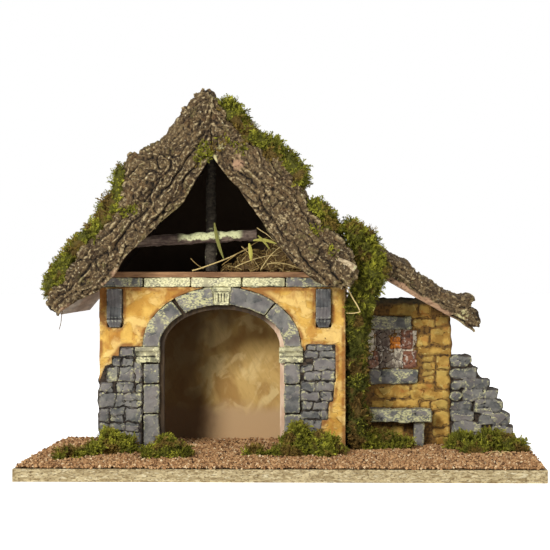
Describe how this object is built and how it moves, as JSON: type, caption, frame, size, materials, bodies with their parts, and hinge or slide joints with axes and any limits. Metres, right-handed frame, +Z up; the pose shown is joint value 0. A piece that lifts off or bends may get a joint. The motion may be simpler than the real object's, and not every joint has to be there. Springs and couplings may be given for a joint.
{
  "type": "nativity stable",
  "caption": "Stuccoed crib house on a gravel-strewn board, with an arched doorway, open hay loft, bark roof, and a lean-to annex with bench and boulder wall.",
  "frame": {"origin": "bottom centre of the base board", "axes": "+X to the right seen from the front, +Y to the back, +Z up"},
  "size_m": [0.5, 0.25, 0.3762],
  "materials": {
    "chipboard": "raw pressed chips, flecked, sawn edges",
    "gravel": "fine pinkish tan granules, loose and matte",
    "fibreboard": "thin fibreboard, its cut edge pale and smooth",
    "painted_panel": "board brushed with cream and yellow paint",
    "stucco": "rough plaster, ochre with pale yellow and orange-brown patches",
    "grey_stone": "cast plaster, blue-grey, dry-brushed with cream, joints blackened",
    "pale_stone": "cast plaster, grey under pale yellow-green dry brushing",
    "ochre_stone": "cast plaster stones, deep ochre, joints dark brown",
    "niche_brick": "small bricks, reddish, purple and whitish, worn",
    "plywood": "thin plywood, its edge brown",
    "dark_wood": "bare stick, grey-brown",
    "lichen_wood": "stick with pale lichen",
    "roof_board": "thin board, grey-beige, raw",
    "bark": "raw cork bark, deeply ridged, grey-brown with pale flecks",
    "hay": "dry stalks and leaf blades",
    "moss": "dried moss, bright to dark green"
  },
  "bodies": {
    "root": {"base_board": "chipboard", "gravel_bed": "gravel", "front_panel": "fibreboard", "side_wall_left": "painted_panel", "side_wall_right": "painted_panel", "rear_wall": "painted_panel", "stucco_left": "stucco", "stucco_right": "stucco", "voussoir_left_lower": "grey_stone", "voussoir_left_upper": "grey_stone", "voussoir_right_upper": "grey_stone", "voussoir_right_lower": "grey_stone", "pier_left_1": "grey_stone", "pier_left_2": "grey_stone", "pier_left_3": "grey_stone", "pier_right_1": "grey_stone", "pier_right_2": "grey_stone", "pier_right_3": "grey_stone", "rubble_left": "grey_stone", "rubble_right": "grey_stone", "corbel_left": "grey_stone", "corbel_right": "grey_stone", "niche_cap": "grey_stone", "niche_sill": "grey_stone", "bench_slab": "grey_stone", "bench_leg": "grey_stone", "boulder_wall": "grey_stone", "keystone": "pale_stone", "impost_left": "pale_stone", "impost_right": "pale_stone", "lintel_1": "pale_stone", "lintel_2": "pale_stone", "lintel_3": "pale_stone", "lintel_4": "pale_stone", "lintel_5": "pale_stone", "annex_wall": "ochre_stone", "niche_bricks": "niche_brick", "loft_floor": "plywood", "loft_post": "dark_wood", "branch_stub": "dark_wood", "loft_rail": "lichen_wood", "roof_board_left": "roof_board", "roof_board_right": "roof_board", "lean_to_board": "roof_board", "bark_left_upper": "bark", "bark_left_lower": "bark", "bark_right_upper": "bark", "bark_right_lower": "bark", "lean_to_bark_upper": "bark", "lean_to_bark_lower": "bark", "hay_heap": "hay", "moss_roof_left": "moss", "moss_ridge": "moss", "moss_roof_right": "moss", "moss_corner": "moss", "moss_ground_left": "moss", "moss_ground_door": "moss", "moss_ground_right": "moss", "moss_ground_bench": "moss", "moss_ground_boulders": "moss"}
  },
  "joints": []
}
